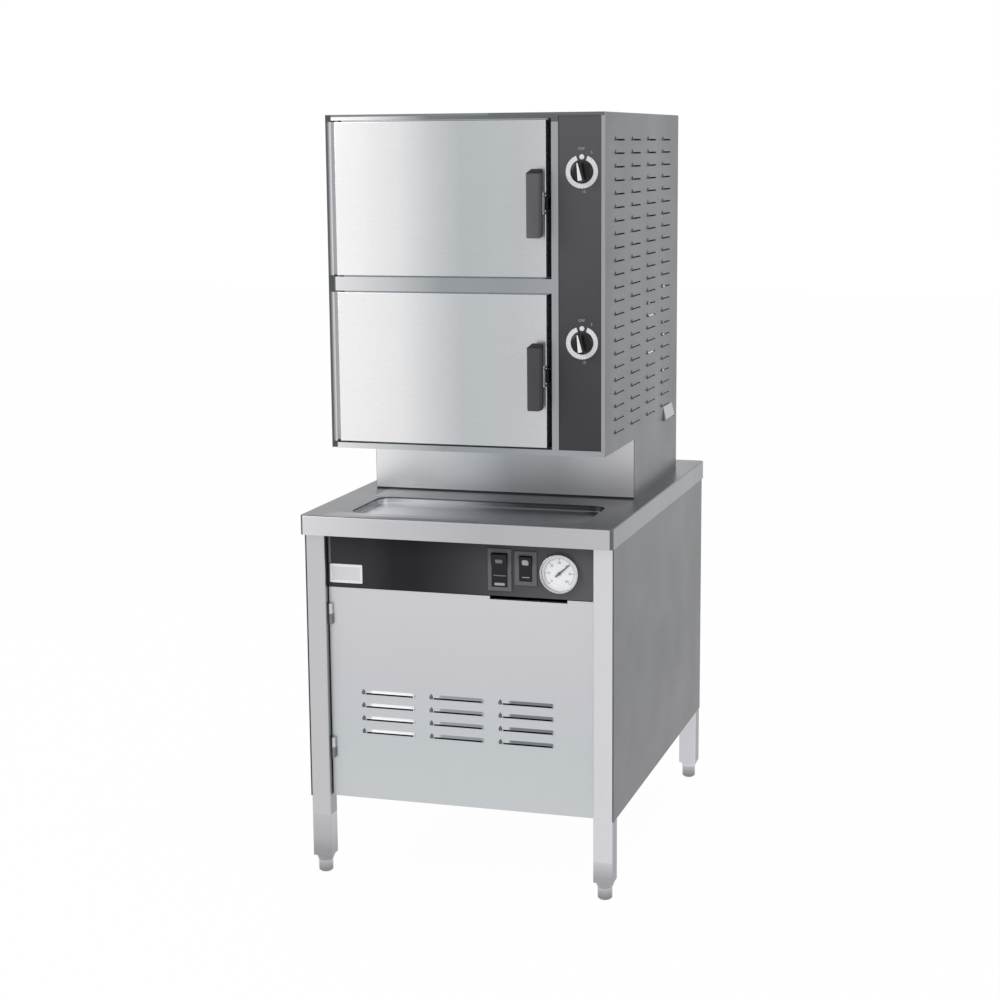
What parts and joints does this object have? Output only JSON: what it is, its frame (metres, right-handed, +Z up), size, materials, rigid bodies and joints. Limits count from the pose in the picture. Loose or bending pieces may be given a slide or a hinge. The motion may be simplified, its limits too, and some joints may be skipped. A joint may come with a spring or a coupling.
{
  "type": "convection steamer",
  "caption": "Free-standing convection steamer: two steam compartments with hinged doors and timers on a pedestal over a boiler cabinet with a drip worktop, louvred door and levelling feet.",
  "frame": {"origin": "on the floor, under the middle of the worktop", "axes": "+Z up, +X to the right of someone facing the doors, -Y out of the doors"},
  "size_m": [0.6096, 0.8382, 1.457],
  "materials": {
    "worktop_steel": "brushed",
    "bright_steel": "polished",
    "leg_steel": "brushed",
    "foot_steel": "satin",
    "side_steel": "brushed",
    "door_steel": "brushed",
    "frame_steel": "brushed",
    "cavity_steel": "satin",
    "black_fascia": "satin",
    "control_fascia": "satin",
    "switch_black": "gloss",
    "dial_white": "matt",
    "needle_black": "matt",
    "block_dark": "satin",
    "clear_glass": "clear",
    "boiler_steel": "satin",
    "insulation_wool": "matt",
    "element_steel": "satin",
    "valve_brass": "satin",
    "lever_steel": "satin",
    "electrical_grey": "matt",
    "pipe_copper": "satin",
    "motor_paint": "satin",
    "print_white": "matt",
    "knob_black": "gloss",
    "seal_rubber": "matt",
    "handle_grey": "satin"
  },
  "bodies": {
    "cabinet": {"worktop": "worktop_steel", "drip_strainer": "bright_steel", "cabinet_legs": "leg_steel", "base_frame": "leg_steel", "base_side_panels": "side_steel", "base_rear_panel": "side_steel", "base_shelf": "side_steel", "base_door_hinges": "bright_steel", "control_strip": "black_fascia", "switch_cases": "switch_black", "gauge_case": "bright_steel", "gauge_dial": "dial_white", "gauge_lens": "clear_glass", "boiler_shell": "boiler_steel", "boiler_jacket": "insulation_wool", "heating_elements": "element_steel", "safety_valve": "valve_brass", "drain_valve_body": "valve_brass", "fill_valve": "valve_brass", "contactor_box": "electrical_grey", "pipework": "pipe_copper", "pedestal": "side_steel", "top_cover": "side_steel", "left_side_panel": "side_steel", "right_side_panel": "side_steel", "rear_panel": "side_steel", "unit_base_pan": "side_steel", "exhaust_hood": "bright_steel", "face_frame": "frame_steel", "upper_cavity": "cavity_steel", "lower_cavity": "cavity_steel", "insulation": "insulation_wool", "pan_guides": "cavity_steel", "blower_motors": "motor_paint", "control_panel": "control_fascia", "timers": "electrical_grey", "timer_dials": "print_white", "door_hardware": "block_dark", "fasteners": "bright_steel"},
    "upper_door": {"upper_door_skin": "door_steel", "upper_door_liner": "cavity_steel", "upper_door_gasket": "seal_rubber"},
    "lower_door": {"lower_door_skin": "door_steel", "lower_door_liner": "cavity_steel", "lower_door_gasket": "seal_rubber"},
    "upper_handle": {"upper_door_handle": "handle_grey"},
    "lower_handle": {"lower_door_handle": "handle_grey"},
    "cabinet_door": {"base_door": "door_steel"},
    "power_switch": {"power_rocker": "switch_black"},
    "drain_switch": {"drain_rocker": "switch_black"},
    "needle": {"gauge_needle": "needle_black"},
    "upper_knob": {"upper_timer_knob": "knob_black"},
    "lower_knob": {"lower_timer_knob": "knob_black"},
    "upper_blower": {"upper_blower_wheel": "cavity_steel"},
    "lower_blower": {"lower_blower_wheel": "cavity_steel"},
    "drain_lever": {"drain_valve_lever": "lever_steel"},
    "foot_fl": {"foot_front_left": "foot_steel"},
    "foot_fr": {"foot_front_right": "foot_steel"},
    "foot_rl": {"foot_rear_left": "foot_steel"},
    "foot_rr": {"foot_rear_right": "foot_steel"}
  },
  "joints": [
    {"name": "upper_door_hinge", "type": "hinge", "parent": "cabinet", "child": "upper_door", "pos_m": [-0.2435, -0.3256, 1.302], "axis": [0, 0, -1], "range_deg": [0, 110]},
    {"name": "upper_handle_pivot", "type": "hinge", "parent": "upper_door", "child": "upper_handle", "pos_m": [0.151, -0.3431, 1.2945], "axis": [0, 0, 1], "range_deg": [0, 20], "stiffness_Nm_per_rad": 0.6, "springref_deg": -8.59},
    {"name": "lower_door_hinge", "type": "hinge", "parent": "cabinet", "child": "lower_door", "pos_m": [-0.2435, -0.3256, 0.987], "axis": [0, 0, -1], "range_deg": [0, 110]},
    {"name": "lower_handle_pivot", "type": "hinge", "parent": "lower_door", "child": "lower_handle", "pos_m": [0.151, -0.3431, 0.9795], "axis": [0, 0, 1], "range_deg": [0, 20], "stiffness_Nm_per_rad": 0.6, "springref_deg": -8.59},
    {"name": "cabinet_door_hinge", "type": "hinge", "parent": "cabinet", "child": "cabinet_door", "pos_m": [-0.2567, -0.3905, 0.3635], "axis": [0, 0, -1], "range_deg": [0, 110]},
    {"name": "power_rocker_pivot", "type": "hinge", "parent": "cabinet", "child": "power_switch", "pos_m": [0.082, -0.3881, 0.623], "axis": [-1, 0, 0], "range_deg": [0, 16]},
    {"name": "drain_rocker_pivot", "type": "hinge", "parent": "cabinet", "child": "drain_switch", "pos_m": [0.1325, -0.3881, 0.628], "axis": [-1, 0, 0], "range_deg": [0, 16]},
    {"name": "needle_spindle", "type": "hinge", "parent": "cabinet", "child": "needle", "pos_m": [0.197, -0.3901, 0.622], "axis": [0, 1, 0], "range_deg": [-184, 86]},
    {"name": "upper_timer_shaft", "type": "hinge", "parent": "cabinet", "child": "upper_knob", "pos_m": [0.225, -0.3323, 1.351], "axis": [0, 1, 0], "range_deg": [0, 300]},
    {"name": "lower_timer_shaft", "type": "hinge", "parent": "cabinet", "child": "lower_knob", "pos_m": [0.225, -0.3323, 1.042], "axis": [0, 1, 0], "range_deg": [0, 300]},
    {"name": "upper_blower_shaft", "type": "hinge", "parent": "cabinet", "child": "upper_blower", "pos_m": [0.12, 0.0677, 1.302], "axis": [1, 0, 0], "continuous": true},
    {"name": "lower_blower_shaft", "type": "hinge", "parent": "cabinet", "child": "lower_blower", "pos_m": [0.12, 0.0677, 0.987], "axis": [1, 0, 0], "continuous": true},
    {"name": "drain_lever_stem", "type": "hinge", "parent": "cabinet", "child": "drain_lever", "pos_m": [-0.08, -0.115, 0.27], "axis": [0, 0, -1], "range_deg": [0, 90]},
    {"name": "foot_screw_fl", "type": "slide", "parent": "cabinet", "child": "foot_fl", "axis": [0, 0, -1], "range_m": [0, 0.025]},
    {"name": "foot_screw_fr", "type": "slide", "parent": "cabinet", "child": "foot_fr", "axis": [0, 0, -1], "range_m": [0, 0.025]},
    {"name": "foot_screw_rl", "type": "slide", "parent": "cabinet", "child": "foot_rl", "axis": [0, 0, -1], "range_m": [0, 0.025]},
    {"name": "foot_screw_rr", "type": "slide", "parent": "cabinet", "child": "foot_rr", "axis": [0, 0, -1], "range_m": [0, 0.025]}
  ]
}
